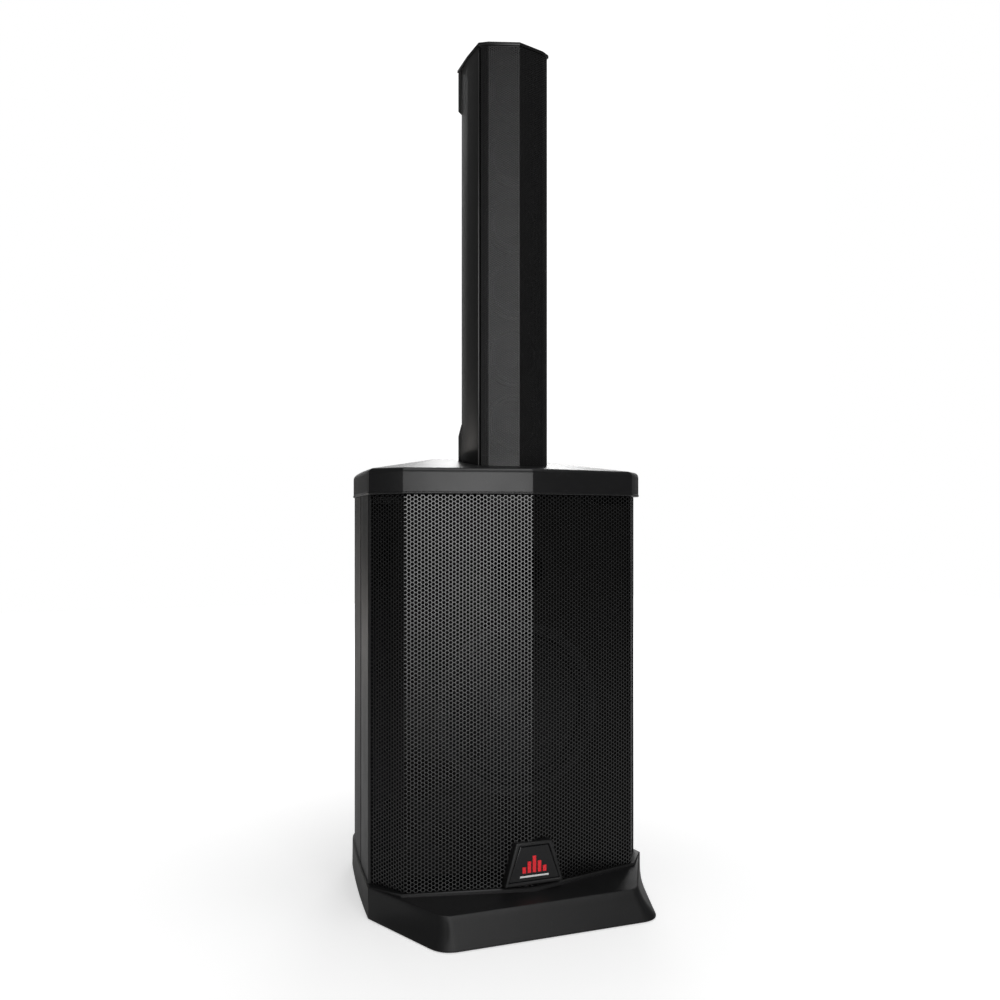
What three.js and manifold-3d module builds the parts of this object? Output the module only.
// Column PA system: a subwoofer cabinet with a V-shaped grille on a flared plinth, and a slim speaker
// column that lifts out of a socket in the cabinet's lid. Millimetres, +Z up, the grille faces -Y, and
// the origin is on the floor at the middle of the outer box.
import * as THREE from "three";
import { ConvexGeometry } from "three/addons/geometries/ConvexGeometry.js";
import { mergeVertices } from "three/addons/utils/BufferGeometryUtils.js";
import Module from "manifold-3d";

const wasm = await Module();
wasm.setup();

// ---- driving dimensions -------------------------------------------------------------------------

const GAP = 0.3; // clearance between neighbouring pieces
const WALL = 9; // cabinet wall

// Heights
const PAD_TOP = 4; // rubber foot pads stand on the floor
const PLINTH_BOTTOM = 1;
const FOOT_TOP = 30; // top edge of the foot in front of the grille
const PLINTH_TOP = 37.4;
const CABINET_BOTTOM = PLINTH_TOP + GAP;
const LID_BOTTOM = 490;
const CABINET_TOP = LID_BOTTOM - GAP;
const LID_BAND_TOP = 514.2;
const LID_RIM = 521; // top of the bevel round the lid
const LID_RIDGE = 538.7; // crest of the lid behind the column
const SEAT = 516; // floor of the column's seat in the lid
const COLUMN_TOP = 1030;

// Plan: the sides taper towards the rear in a slight curve and turn in a rounded corner
const REAR = 179;
const CORNER_X = 177.4;
const CORNER_Y = -50.3;
const TAPER = 0.105;
const BULGE = 0.000238;
const TURN_Y = 132; // where the rounded rear corner begins
const TURN_X = 142; // where the corner's two tangents meet
const REAR_FLAT = 120; // half width of the flat rear
const SEAM_Y = 38.6; // joint between front frame and rear shell

// The grille's bent line, from the ridge to its edge
const GRILLE_LINE = [[0, -118.8], [145.4, -87.3], [172, -42.3]];
const GRILLE_SHEET = 1.6;
const LID_FRONT = [[0, -119.8], [147.4, -87.6]];

// The foot in front of the grille
const FOOT_FRONT = -180;
const FOOT_TOP_FRONT = -151.4;
const FOOT_CORNER = 131;
const FOOT_TOP_CORNER = 121;

// Woofer, on a flat baffle behind the grille
const BAFFLE_FRONT = -70;
const BAFFLE_BACK = -54;
const BAFFLE_HALF = 152;
const WOOFER_Z = 235;
const WOOFER_R = 104;
const CONE_R = 80;
const PORT_Z = 400;
const PORT_R = 33;

// Rear panel
const PANEL_HALF = 110;
const PANEL_LOW = 75;
const PANEL_HIGH = 385;
const PANEL_FRONT = 152.3;
const PANEL_BACK = 155.3;
const KNOB_Z = 352;
const SOCKET_Z = 302;

// Handle recess above the panel
const RECESS_HALF = 75;
const RECESS_LOW = 405;
const RECESS_HIGH = 468;
const RECESS_FLOOR = 132;

// Column
const COLUMN_LINE = [[0, -79.3], [35.4, -67.2]];
const COLUMN_EDGE = [43.8, -60.2];
const COLUMN_BACK = [41.8, 20.5];
const HOUSING_BACK = [41.8, 10.5]; // the housing stands back between the two rear pads
const COLUMN_WALL = 3;
const HOUSING_BOTTOM = 538.5;
const CAP_BOTTOM = 1025;
const DRIVERS = 6;
const DRIVER_PITCH = 80.2;
const FIRST_DRIVER_Z = 577;
const SPIGOT = { half: 27, front: -46, back: -8, low: 452 };

// ---- materials ----------------------------------------------------------------------------------

function finish(color, roughness, metalness = 0) {
  return new THREE.MeshStandardMaterial({ color, roughness, metalness });
}

const MOULDED = finish(0x2a2a2c, 0.55);
const LIGHT_SHELL = finish(0x353538, 0.5);
const STEEL = finish(0x1c1c1e, 0.45, 0.6);
const BOARD = finish(0x1f3d2a, 0.7);
const WOOD = finish(0x4a3c2c, 0.8);
const RUBBER = finish(0x161616, 0.9);
const PAPER = finish(0x1b1b1c, 0.85);
const GLOSS = finish(0x0c0c0e, 0.15);
const ALLOY = finish(0x8a8c90, 0.4, 0.9);
const PANEL = finish(0x222224, 0.5, 0.3);
const CONTACT = finish(0xb59a52, 0.3, 1);
const ACCENT = finish(0xb01018, 0.4);

// ---- geometry helpers ---------------------------------------------------------------------------

// A closed geometry as a solid for joining and cutting.
function solid(geometry) {
  const bare = geometry.index ? geometry.toNonIndexed() : geometry.clone();
  bare.deleteAttribute("normal");
  bare.deleteAttribute("uv");
  const merged = mergeVertices(bare, 1e-4);
  return new wasm.Manifold(
    new wasm.Mesh({
      numProp: 3,
      vertProperties: merged.attributes.position.array,
      triVerts: new Uint32Array(merged.index.array),
    }),
  );
}

// A solid back as a geometry.
function geometryOf(made) {
  const mesh = made.getMesh();
  const geometry = new THREE.BufferGeometry();
  geometry.setAttribute("position", new THREE.BufferAttribute(mesh.vertProperties, 3));
  geometry.setIndex(new THREE.BufferAttribute(mesh.triVerts, 1));
  geometry.computeVertexNormals();
  return geometry;
}

function cut(geometry, ...tools) {
  return geometryOf(tools.reduce((made, tool) => made.subtract(solid(tool)), solid(geometry)));
}

function join(geometry, ...others) {
  return geometryOf(others.reduce((made, other) => made.add(solid(other)), solid(geometry)));
}

// A box between two corners.
function block(x0, x1, y0, y1, z0, z1) {
  const box = new THREE.BoxGeometry(x1 - x0, y1 - y0, z1 - z0);
  return box.translate((x0 + x1) / 2, (y0 + y1) / 2, (z0 + z1) / 2);
}

// A plan outline raised from z0 to z1.
function prism(outline, z0, z1) {
  const shape = new THREE.Shape(outline.map(([x, y]) => new THREE.Vector2(x, y)));
  return new THREE.ExtrudeGeometry(shape, { depth: z1 - z0, bevelEnabled: false }).translate(0, 0, z0);
}

// A plate in the XZ plane from its outline, between y0 and y1.
function facingPlate(outline, y0, y1) {
  const shape = new THREE.Shape(outline.map(([x, z]) => new THREE.Vector2(x, z)));
  const plate = new THREE.ExtrudeGeometry(shape, { depth: y1 - y0, bevelEnabled: false });
  return plate.rotateX(Math.PI / 2).translate(0, y1, 0);
}

// Half an outline (x >= 0, from the front to the rear) completed with its mirror image.
function mirrored(half) {
  const left = half.filter(([x]) => x > 0).map(([x, ...rest]) => [-x, ...rest]);
  return [...half, ...left.reverse()];
}

// A skin over rings of equal length, closed at both ends.
function loft(rings) {
  const count = rings[0].length;
  const triangles = [];
  for (let r = 0; r + 1 < rings.length; r++) {
    for (let i = 0; i < count; i++) {
      const next = (i + 1) % count;
      const [a, b, c, d] = [rings[r][i], rings[r][next], rings[r + 1][next], rings[r + 1][i]];
      triangles.push(a, b, c, a, c, d);
    }
  }
  const capOf = (ring) =>
    THREE.ShapeUtils.triangulateShape(ring.map(([x, y]) => new THREE.Vector2(x, y)), []);
  for (const [i, j, k] of capOf(rings[0])) triangles.push(rings[0][i], rings[0][k], rings[0][j]);
  const top = rings[rings.length - 1];
  for (const [i, j, k] of capOf(top)) triangles.push(top[i], top[j], top[k]);
  const geometry = new THREE.BufferGeometry();
  geometry.setAttribute("position", new THREE.Float32BufferAttribute(triangles.flat(), 3));
  return geometry;
}

// A bar along X, centred, from its section in (y, z).
function acrossX(section, width) {
  const shape = new THREE.Shape(section.map(([y, z]) => new THREE.Vector2(y, z)));
  const bar = new THREE.ExtrudeGeometry(shape, { depth: width, bevelEnabled: false });
  const turn = new THREE.Matrix4().makeBasis(
    new THREE.Vector3(0, 1, 0),
    new THREE.Vector3(0, 0, 1),
    new THREE.Vector3(1, 0, 0),
  );
  return bar.translate(0, 0, -width / 2).applyMatrix4(turn);
}

// A body turned about a line along Y through (x, z); the profile lists [radius, y] anticlockwise.
function turned(profile, x, z, segments = 40) {
  const points = profile.map(([radius, y]) => new THREE.Vector2(radius, y));
  return new THREE.LatheGeometry(points, segments).translate(x, 0, z);
}

function rod(radius, y0, y1, x, z, segments = 20) {
  return turned([[0, y0], [radius, y0], [radius, y1], [0, y1]], x, z, segments);
}

function tube(outer, inner, y0, y1, x, z, segments = 20) {
  return turned([[inner, y0], [outer, y0], [outer, y1], [inner, y1], [inner, y0]], x, z, segments);
}

// Half width of the cabinet's side at a given y.
function sideX(y) {
  const back = y - CORNER_Y;
  return CORNER_X - TAPER * back - BULGE * back * back;
}

// Half outline of the side and the rear from y = start, grown outwards by grow.
function rearHalf(start, grow) {
  const side = [0, 1, 2, 3, 4].map((i) => {
    const y = start + ((TURN_Y - start) * i) / 5;
    return [sideX(y) + grow, y];
  });
  const corner = new THREE.QuadraticBezierCurve(
    new THREE.Vector2(sideX(TURN_Y) + grow, TURN_Y),
    new THREE.Vector2(TURN_X + grow, REAR + grow),
    new THREE.Vector2(REAR_FLAT, REAR + grow),
  );
  return [...side, ...corner.getPoints(6).map((p) => [p.x, p.y])];
}

// A bent line moved sideways by distance, towards +Y.
function shifted(line, distance) {
  return line.map(([x, y], i) => {
    const before = line[Math.max(i - 1, 0)];
    const after = line[Math.min(i + 1, line.length - 1)];
    const inward = ([ax, ay], [bx, by]) => {
      const length = Math.hypot(bx - ax, by - ay) || 1;
      return new THREE.Vector2(-(by - ay) / length, (bx - ax) / length);
    };
    const first = i ? inward(before, [x, y]) : inward([x, y], after);
    const second = i < line.length - 1 ? inward([x, y], after) : first;
    const middle = first.clone().add(second).normalize();
    const reach = distance / middle.dot(first);
    return [x + middle.x * reach, y + middle.y * reach];
  });
}

// A bent sheet's full plan, from its half line and its thickness.
function sheetPlan(line, thickness) {
  const full = [...line.slice(1).map(([x, y]) => [-x, y]).reverse(), ...line];
  return [...full, ...shifted(full, thickness).reverse()];
}

const model = new THREE.Group();

function add(name, geometry, material, parent = model) {
  const mesh = new THREE.Mesh(geometry, material);
  mesh.name = name;
  parent.add(mesh);
}

// ---- plinth and foot pads -----------------------------------------------------------------------

// The rounded front corner of the foot, from the straight front edge to the flank.
function footCorner(corner, front, radius, z) {
  const curve = new THREE.QuadraticBezierCurve(
    new THREE.Vector2(corner - radius, front),
    new THREE.Vector2(corner, front),
    new THREE.Vector2(corner + radius * 0.38, front + radius * 0.95),
  );
  return curve.getPoints(5).map((p) => [p.x, p.y, z]);
}

const PADS = [["fl", -112, -150], ["fr", 112, -150], ["rl", -112, 140], ["rr", 112, 140]];
const PAD_R = 14;

// A disc on the Z axis.
function disc(radius, z0, z1, x, y) {
  return new THREE.CylinderGeometry(radius, radius, z1 - z0, 20)
    .rotateX(Math.PI / 2)
    .translate(x, y, (z0 + z1) / 2);
}

function plinth() {
  const low = [
    ...footCorner(FOOT_CORNER, FOOT_FRONT, 20, PLINTH_BOTTOM),
    ...rearHalf(CORNER_Y - 2.5, 1).map(([x, y]) => [x, y, PLINTH_BOTTOM]),
  ];
  const high = [
    ...footCorner(FOOT_TOP_CORNER, FOOT_TOP_FRONT, 12, FOOT_TOP),
    ...rearHalf(CORNER_Y - 1, 0.6).map(([x, y]) => [x, y, PLINTH_TOP]),
  ];
  const rim = prism(mirrored([...LID_FRONT, ...rearHalf(CORNER_Y, 0)]), FOOT_TOP - 12, PLINTH_TOP);
  const recesses = PADS.map(([, x, y]) => disc(PAD_R + GAP, PLINTH_BOTTOM - 1, PAD_TOP + GAP, x, y));
  return cut(join(loft([mirrored(low), mirrored(high)]), rim), ...recesses);
}

add("base_plinth", plinth(), MOULDED);
for (const [place, x, y] of PADS) add(`foot_pad_${place}`, disc(PAD_R, 0, PAD_TOP, x, y), RUBBER);

// ---- cabinet ------------------------------------------------------------------------------------

// The frame carries the baffle and the grille: two sides, a top and a bottom, open to front and rear.
function frontFrame() {
  const line = shifted(GRILLE_LINE, GRILLE_SHEET + 2 * GAP).slice(1);
  const ridge = GRILLE_LINE[0][1] + GRILLE_SHEET + 3 * GAP;
  const side = rearHalf(-41.6, -2).filter(([, y]) => y < SEAM_Y - 1);
  const half = [[0, ridge], ...line, ...side, [sideX(SEAM_Y) - 2, SEAM_Y - GAP]];
  const inside = [
    [BAFFLE_HALF + GAP, -130],
    [BAFFLE_HALF + GAP, -45],
    [sideX(-30) - 2 - WALL, -30],
    [sideX(SEAM_Y) - 2 - WALL, SEAM_Y + 1],
  ];
  const body = prism(mirrored(half), CABINET_BOTTOM, CABINET_TOP);
  const opening = prism(mirrored(inside), CABINET_BOTTOM + WALL, CABINET_TOP - WALL);
  const socketHole = block(-45, 45, -68, 9, CABINET_TOP - WALL - 1, CABINET_TOP + 1);
  return cut(body, opening, socketHole);
}

// The rear shell is a moulded tub, open to the front, with a recess for the panel and one for the hand.
function rearShell() {
  const half = (grow, front) => [
    [sideX(SEAM_Y) + grow, front],
    ...rearHalf(SEAM_Y + 5, grow),
  ];
  const outer = prism(mirrored(half(-2, SEAM_Y)), CABINET_BOTTOM, CABINET_TOP);
  const room = prism(
    mirrored(half(-2 - WALL, SEAM_Y - 1)),
    CABINET_BOTTOM + WALL,
    CABINET_TOP - WALL,
  );
  const recessWall = block(-RECESS_HALF - 6, RECESS_HALF + 6, RECESS_FLOOR - 6, REAR - 6,
    RECESS_LOW - 6, RECESS_HIGH + 6);
  const panelWall = block(-PANEL_HALF - 7, PANEL_HALF + 7, PANEL_FRONT - 8, REAR - 6,
    PANEL_LOW - 7, PANEL_HIGH + 7);
  const window = PANEL_HALF - 12;
  const walls = solid(outer).intersect(solid(recessWall).add(solid(panelWall)));
  return cut(
    join(cut(outer, room), geometryOf(walls)),
    block(-PANEL_HALF - GAP, PANEL_HALF + GAP, PANEL_FRONT - GAP, REAR + 1,
      PANEL_LOW - GAP, PANEL_HIGH + GAP),
    block(-window, window, PANEL_FRONT - 20, PANEL_FRONT + 1, PANEL_LOW + 12, PANEL_HIGH - 12),
    block(-RECESS_HALF, RECESS_HALF, RECESS_FLOOR, REAR + 1, RECESS_LOW, RECESS_HIGH),
  );
}

function baffle() {
  const panel = block(-BAFFLE_HALF, BAFFLE_HALF, BAFFLE_FRONT, BAFFLE_BACK,
    CABINET_BOTTOM + WALL + GAP, CABINET_TOP - WALL - GAP);
  const wooferHole = rod(WOOFER_R - 10, BAFFLE_FRONT - 1, BAFFLE_BACK + 1, 0, WOOFER_Z, 40);
  const portHole = rod(PORT_R + 3 + GAP, BAFFLE_FRONT - 1, BAFFLE_BACK + 1, 0, PORT_Z, 24);
  return cut(panel, wooferHole, portHole);
}

add("front_frame", frontFrame(), MOULDED);
add("rear_shell", rearShell(), LIGHT_SHELL);
add("front_baffle", baffle(), WOOD);
add("front_grille", prism(sheetPlan(GRILLE_LINE, GRILLE_SHEET), 38, 489.4), STEEL);

// ---- carry handle -------------------------------------------------------------------------------

const GRIP = { front: 158, back: 176, low: 442, high: 464 };
const gripSection = [
  [GRIP.front, GRIP.low + 5], [GRIP.front + 5, GRIP.low], [GRIP.back - 5, GRIP.low],
  [GRIP.back, GRIP.low + 5], [GRIP.back, GRIP.high - 5], [GRIP.back - 5, GRIP.high],
  [GRIP.front + 5, GRIP.high], [GRIP.front, GRIP.high - 5],
];
add("carry_handle", acrossX(gripSection, 2 * (RECESS_HALF - GAP)), MOULDED);

// ---- woofer and reflex port ---------------------------------------------------------------------

const RIM_BACK = BAFFLE_FRONT - GAP;
const MAGNET_FRONT = -4;

function basket() {
  const shell = turned(
    [
      [CONE_R + 11, RIM_BACK - 5], [WOOFER_R, RIM_BACK - 5], [WOOFER_R, RIM_BACK],
      [WOOFER_R - 11, RIM_BACK], [WOOFER_R - 13, -50], [62, -14], [62, MAGNET_FRONT - GAP],
      [30, MAGNET_FRONT - GAP], [30, -17], [56, -17], [CONE_R + 8, -52], [CONE_R + 11, RIM_BACK - 5],
    ],
    0, WOOFER_Z,
  );
  const windows = [30, 90, 150].map((angle) =>
    block(-13, 13, -44, -20, -110, 110)
      .rotateY(THREE.MathUtils.degToRad(angle))
      .translate(0, 0, WOOFER_Z),
  );
  return cut(shell, ...windows);
}

const CONE_FRONT = RIM_BACK - 4;
const surround = turned(
  [
    [CONE_R + GAP, CONE_FRONT], [CONE_R + 2, CONE_FRONT - 4], [CONE_R + 5, CONE_FRONT - 5.5],
    [CONE_R + 8, CONE_FRONT - 4], [CONE_R + 10.5, CONE_FRONT], [CONE_R + 9, CONE_FRONT],
    [CONE_R + 5, CONE_FRONT - 4], [CONE_R + 1.5, CONE_FRONT], [CONE_R + GAP, CONE_FRONT],
  ],
  0, WOOFER_Z,
);
const cone = turned(
  [
    [24, -38], [CONE_R, CONE_FRONT], [CONE_R, CONE_FRONT + 2], [25, -35], [25, -19], [24, -19],
    [24, -38],
  ],
  0, WOOFER_Z,
);
const dustCap = turned(
  [[0, -57], [10, -56], [20, -53.5], [28, -49], [27, -47], [19, -51.5], [10, -54], [0, -55]],
  0, WOOFER_Z,
);
const magnet = turned(
  [
    [0, 28], [0, -18], [18, -18], [18, -6], [23, -6], [23, MAGNET_FRONT], [60, MAGNET_FRONT],
    [60, 28], [0, 28],
  ],
  0, WOOFER_Z,
);
add("woofer_basket", basket(), STEEL);
add("woofer_surround", surround, RUBBER);
add("woofer_cone", cone, PAPER);
add("woofer_dust_cap", dustCap, PAPER);
add("woofer_magnet", magnet, ALLOY);
add(
  "reflex_port",
  join(
    tube(PORT_R + 3, PORT_R, BAFFLE_FRONT - 1, 60, 0, PORT_Z, 24),
    tube(PORT_R + 10, PORT_R, BAFFLE_FRONT - 5, BAFFLE_FRONT - GAP, 0, PORT_Z, 24),
  ),
  MOULDED,
);

// ---- lid and column socket ----------------------------------------------------------------------

const columnPlan = (grow) =>
  mirrored([
    [COLUMN_LINE[0][0], COLUMN_LINE[0][1] - grow],
    [COLUMN_LINE[1][0] + grow * 0.4, COLUMN_LINE[1][1] - grow],
    [COLUMN_EDGE[0] + grow, COLUMN_EDGE[1] - grow * 0.4],
    [COLUMN_BACK[0] + grow, COLUMN_BACK[1] + grow],
  ]);

// A hip roof: a vertical band, a bevel, and slopes that rise to a crest behind the column.
function lid() {
  const bandHalf = [...LID_FRONT, ...rearHalf(CORNER_Y, 0)];
  const rimHalf = [
    [0, LID_FRONT[0][1] + 7.5], [LID_FRONT[1][0] - 5, LID_FRONT[1][1] + 6.5], ...rearHalf(CORNER_Y, -7),
  ];
  const lift = (outline, z) => mirrored(outline).map(([x, y]) => [x, y, z]);
  const band = loft([lift(bandHalf, LID_BOTTOM), lift(bandHalf, LID_BAND_TOP), lift(rimHalf, LID_RIM)]);
  const crest = [[-66, 40.6, LID_RIDGE], [66, 40.6, LID_RIDGE]];
  const roof = new ConvexGeometry(
    [...lift(rimHalf, LID_RIM - 4), ...lift(rimHalf, LID_RIM), ...crest].map(
      (p) => new THREE.Vector3(...p),
    ),
  );
  const hollow = [[0, LID_FRONT[0][1] + 12], [138, -80], ...rearHalf(CORNER_Y, -9)];
  const post = block(-52, 52, -88, 26, LID_BOTTOM, LID_RIM);
  const shell = join(cut(band, prism(mirrored(hollow), LID_BOTTOM - 1, LID_BAND_TOP - 5)), roof, post);
  const spigotHole = block(-SPIGOT.half - 4, SPIGOT.half + 4, SPIGOT.front - 4, SPIGOT.back + 4,
    LID_BOTTOM - 1, SEAT + 1);
  const socketRoom = block(-40.3, 40.3, -63.3, 5.3, LID_BOTTOM - 1, SEAT - 8);
  return cut(shell, prism(columnPlan(1), SEAT, LID_RIDGE + 1), spigotHole, socketRoom);
}

// The socket hangs under the lid: a sleeve round the spigot, with a flange and a floor.
function socket() {
  const { half, front, back, low } = SPIGOT;
  const sleeve = block(-half - 5, half + 5, front - 5, back + 5, low - 12, SEAT - 8 - GAP);
  const flange = block(-40, 40, -63, 5, SEAT - 14, SEAT - 8 - GAP);
  const room = block(-half - 0.6, half + 0.6, front - 0.6, back + 0.6, low - 6, SEAT);
  return cut(join(sleeve, flange), room);
}

add("top_lid", lid(), MOULDED);
add("column_socket", socket(), MOULDED);
add(
  "socket_contacts",
  block(-15, 15, -36, -22, SPIGOT.low - 6 + GAP, SPIGOT.low - 1),
  CONTACT,
);

// ---- badge --------------------------------------------------------------------------------------

const BADGE_FRONT = -123.5;
const badgeOutline = (inset) => [
  [-36.5 + inset * 1.2, 41 + inset], [36.5 - inset * 1.2, 41 + inset],
  [22.5 - inset * 0.8, 90 - inset], [-22.5 + inset * 0.8, 90 - inset],
];
const behindGrille = [[-60, 0], ...shifted([[-60, -105.8], [0, -118.8], [60, -105.8]], -GAP), [60, 0]];
add(
  "badge_frame",
  cut(
    facingPlate(badgeOutline(0), BADGE_FRONT, -100),
    prism(behindGrille, 30, 100),
    facingPlate(badgeOutline(4), BADGE_FRONT - 1, BADGE_FRONT + 2),
  ),
  MOULDED,
);
add("badge_plate", facingPlate(badgeOutline(4 + GAP), BADGE_FRONT + 0.5, BADGE_FRONT + 2 - GAP), GLOSS);

// ---- amplifier panel at the rear ----------------------------------------------------------------

const KNOBS = [["input_1", 84], ["input_2", 28], ["sub", -28], ["master", -84]];
const SHAFT_R = 3;
const COMBO = { x: [76, 30], r: 15, hole: 9.5, depth: 20 };
const OUTPUT = { x: -16, r: 13, hole: 8, depth: 18 };
const BUTTON = { x: -58, r: 5 };
const INLET = { x: -78, z: 108, half: 14, halfHeight: 11 };
const ROCKER = { x: -78, z: 148, half: 11, halfHeight: 8, pivot: PANEL_BACK - 3, tilt: 6 };

function amplifierPanel() {
  const plate = block(-PANEL_HALF, PANEL_HALF, PANEL_FRONT, PANEL_BACK, PANEL_LOW, PANEL_HIGH);
  const through = (radius, x, z) => rod(radius, PANEL_FRONT - 1, PANEL_BACK + 1, x, z);
  const window = (at, room) =>
    block(at.x - at.half - room, at.x + at.half + room, PANEL_FRONT - 1, PANEL_BACK + 1,
      at.z - at.halfHeight - room, at.z + at.halfHeight + room);
  return cut(
    plate,
    ...KNOBS.map(([, x]) => through(SHAFT_R + 1, x, KNOB_Z)),
    ...COMBO.x.map((x) => through(COMBO.r + GAP, x, SOCKET_Z)),
    through(OUTPUT.r + GAP, OUTPUT.x, SOCKET_Z),
    through(BUTTON.r + 0.5, BUTTON.x, SOCKET_Z),
    window(INLET, GAP),
    window(ROCKER, 2 + GAP),
    ...SCREWS.map(([, x, z]) => through(2.2, x, z)),
  );
}

const SCREWS = [["tl", 104, 379], ["tr", -104, 379], ["bl", 104, 81], ["br", -104, 81]];

// A round jack: a flange on the panel and a barrel behind it, open to the rear.
function jack(radius, hole, depth, x) {
  const body = join(
    tube(radius + 3, hole, PANEL_BACK + GAP, PANEL_BACK + 2.5, x, SOCKET_Z),
    rod(radius, PANEL_BACK + 0.5 - depth, PANEL_BACK + 0.5, x, SOCKET_Z),
  );
  return cut(body, rod(hole, PANEL_BACK - depth + 4, PANEL_BACK + 3, x, SOCKET_Z));
}

// A knob: skirt, fluted cap and a shaft into the control behind the panel.
function knob(x) {
  const body = turned(
    [
      [0, PANEL_FRONT - 4], [SHAFT_R, PANEL_FRONT - 4], [SHAFT_R, PANEL_BACK + 1],
      [10.5, PANEL_BACK + 1], [10.5, PANEL_BACK + 4], [8, PANEL_BACK + 5.5],
      [7.2, PANEL_BACK + 17], [0, PANEL_BACK + 17],
    ],
    x, KNOB_Z, 20,
  );
  const pointer = block(x - 0.7, x + 0.7, PANEL_BACK + 16.4, PANEL_BACK + 18, KNOB_Z, KNOB_Z + 8);
  return cut(body, pointer);
}

function inlet() {
  const { x, z, half, halfHeight } = INLET;
  const flange = block(x - half - 3, x + half + 3, PANEL_BACK + GAP, PANEL_BACK + 2.5,
    z - halfHeight - 3, z + halfHeight + 3);
  const body = block(x - half, x + half, PANEL_BACK - 20, PANEL_BACK + 1, z - halfHeight, z + halfHeight);
  const well = block(x - half + 2, x + half - 2, PANEL_BACK - 16, PANEL_BACK + 3,
    z - halfHeight + 2.5, z + halfHeight - 2.5);
  const pins = [[-7, -2], [0, 2], [7, -2]].map(([px, pz]) =>
    block(x + px - 1, x + px + 1, PANEL_BACK - 17, PANEL_BACK - 5, z + pz - 2, z + pz + 2),
  );
  return join(cut(join(body, flange), well), ...pins);
}

// The rocker turns about X inside its bezel; its two faces meet in a shallow V.
function rocker() {
  const { x, z, half, halfHeight, pivot, tilt } = ROCKER;
  const wing = halfHeight - 1.2;
  const profile = [
    [-5, 0], [0, -5], [3, 0.4 - wing], [7, -wing], [5.2, 0], [7, wing], [3, wing - 0.4], [0, 5],
  ];
  return acrossX(profile, 2 * half - 3)
    .rotateX(THREE.MathUtils.degToRad(-tilt))
    .translate(x, pivot, z);
}

function rockerBezel() {
  const { x, z, half, halfHeight } = ROCKER;
  const flange = block(x - half - 4, x + half + 4, PANEL_BACK + GAP, PANEL_BACK + 2,
    z - halfHeight - 4, z + halfHeight + 4);
  const body = block(x - half - 2, x + half + 2, PANEL_BACK - 16, PANEL_BACK + 1,
    z - halfHeight - 2, z + halfHeight + 2);
  const room = block(x - half, x + half, PANEL_BACK - 14, PANEL_BACK + 3, z - halfHeight, z + halfHeight);
  return cut(join(body, flange), room);
}

// The heat sink: a base plate on the panel with upright fins.
function heatSink() {
  const fins = Array.from({ length: 14 }, (_, i) => {
    const x = -38 + i * 10;
    return block(x, x + 2.4, PANEL_BACK + 3, PANEL_BACK + 19, 92, 262);
  });
  return join(block(-40, 96, PANEL_BACK + GAP, PANEL_BACK + 4, 92, 262), ...fins);
}

add("amp_panel", amplifierPanel(), PANEL);
COMBO.x.forEach((x, i) => add(`input_socket_${i + 1}`, jack(COMBO.r, COMBO.hole, COMBO.depth, x), MOULDED));
add("link_output_socket", jack(OUTPUT.r, OUTPUT.hole, OUTPUT.depth, OUTPUT.x), MOULDED);
for (const [name, x] of KNOBS) add(`${name}_knob`, knob(x), RUBBER);
add(
  "stereo_link_button",
  join(
    rod(BUTTON.r, PANEL_FRONT - 8, PANEL_BACK + 5, BUTTON.x, SOCKET_Z),
    rod(BUTTON.r + 2, PANEL_FRONT - 8, PANEL_FRONT - 3, BUTTON.x, SOCKET_Z),
  ),
  ACCENT,
);
add("mains_inlet", inlet(), MOULDED);
add("rocker_bezel", rockerBezel(), MOULDED);
add("power_rocker", rocker(), MOULDED);
add("heat_sink", heatSink(), ALLOY);
add("signal_led", rod(2, PANEL_BACK + GAP, PANEL_BACK + 2, -84, SOCKET_Z, 12), ACCENT);
add("mixer_board", block(-98, 98, 131, 133, 286, 368), BOARD);
add("amp_board", block(-95, 95, 122, 124, 100, 280), BOARD);
add("power_supply", block(-60, 10, 88, 122 - GAP, 130, 200), ALLOY);
add("amp_module", block(25, 80, 124 + GAP, 146, 130, 220), ALLOY);
for (const [place, x, z] of SCREWS) {
  const head = rod(4, PANEL_BACK + GAP, PANEL_BACK + 2.5, x, z, 12);
  const shank = rod(1.8, PANEL_FRONT - GAP + 0.1, PANEL_BACK + 1, x, z, 12);
  add(`panel_screw_${place}`, join(head, shank), STEEL);
}

// ---- speaker column -----------------------------------------------------------------------------

const column = new THREE.Group();
model.add(column);

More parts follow.
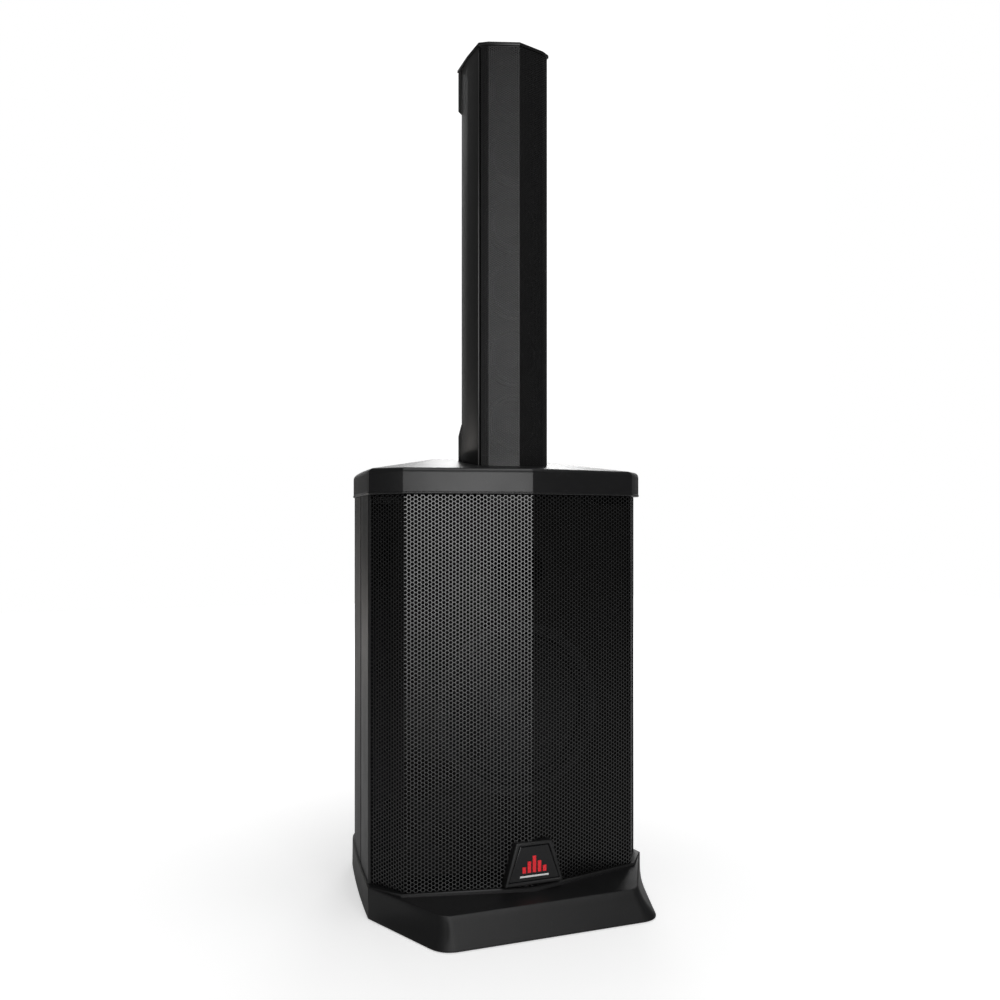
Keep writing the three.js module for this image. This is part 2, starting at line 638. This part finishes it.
// A U-shaped extrusion behind the grille, with a pad at each end of its back.
function columnHousing() {
  const outer = mirrored([[COLUMN_EDGE[0], COLUMN_EDGE[1] + 1.8], HOUSING_BACK]);
  const inner = mirrored([
    [COLUMN_EDGE[0] - COLUMN_WALL, COLUMN_EDGE[1] - 5],
    [HOUSING_BACK[0] - COLUMN_WALL, HOUSING_BACK[1] - COLUMN_WALL],
  ]);
  const shell = cut(
    prism(outer, HOUSING_BOTTOM, CAP_BOTTOM - GAP),
    prism(inner, HOUSING_BOTTOM - 1, CAP_BOTTOM + 1),
  );
  const width = 2 * COLUMN_BACK[0];
  const padDepth = COLUMN_BACK[1] - HOUSING_BACK[1] + 1;
  const padProfile = (flat, slope) => [[0, 0], [padDepth, 0], [padDepth, flat], [0, flat + slope]];
  const lowerPad = acrossX(padProfile(28, 14), width)
    .translate(0, HOUSING_BACK[1] - 1, HOUSING_BOTTOM);
  const upperPad = acrossX(padProfile(48, 8).map(([y, z]) => [y, -z]).reverse(), width)
    .translate(0, HOUSING_BACK[1] - 1, CAP_BOTTOM - GAP);
  return join(shell, upperPad, lowerPad);
}

// The end block fills the foot of the column, above the spigot.
function columnFoot() {
  return prism(columnPlan(0), SEAT + GAP, HOUSING_BOTTOM - GAP);
}

const columnBaffleFront = -56;
function columnBaffle() {
  const half = COLUMN_EDGE[0] - COLUMN_WALL - GAP - 0.2;
  const plate = block(-half, half, columnBaffleFront, columnBaffleFront + 5,
    HOUSING_BOTTOM, CAP_BOTTOM - GAP);
  const holes = Array.from({ length: DRIVERS }, (_, i) =>
    rod(34, columnBaffleFront - 1, columnBaffleFront + 6, 0, FIRST_DRIVER_Z + i * DRIVER_PITCH, 20),
  );
  return cut(plate, ...holes);
}

// A three inch driver: flange, cone and magnet in one turned body.
function columnDriver(z) {
  const front = columnBaffleFront - GAP;
  return turned(
    [
      [0, front + 12], [10, front + 12], [27, front - 1], [31, front - 3], [37, front - 2],
      [37, front], [33.5, front], [22, front + 22], [22, front + 40], [0, front + 40],
    ],
    0, z, 20,
  );
}

function columnCap() {
  return loft(
    [[0.9, CAP_BOTTOM], [0.9, COLUMN_TOP - 1.5], [-0.6, COLUMN_TOP]].map(([grow, z]) =>
      columnPlan(grow).map(([x, y]) => [x, y, z]),
    ),
  );
}

const columnGrilleLine = [...COLUMN_LINE, COLUMN_EDGE];
add("column_housing", columnHousing(), MOULDED, column);
add("column_foot", columnFoot(), MOULDED, column);
add("column_baffle", columnBaffle(), MOULDED, column);
add("column_grille", prism(sheetPlan(columnGrilleLine, 1.2), HOUSING_BOTTOM, CAP_BOTTOM - GAP), STEEL, column);
add("column_cap", columnCap(), MOULDED, column);
for (let i = 0; i < DRIVERS; i++) {
  add(`column_driver_${i + 1}`, columnDriver(FIRST_DRIVER_Z + i * DRIVER_PITCH), PAPER, column);
}
add(
  "column_spigot",
  block(-SPIGOT.half, SPIGOT.half, SPIGOT.front, SPIGOT.back, SPIGOT.low, SEAT),
  MOULDED,
  column,
);

export default model;
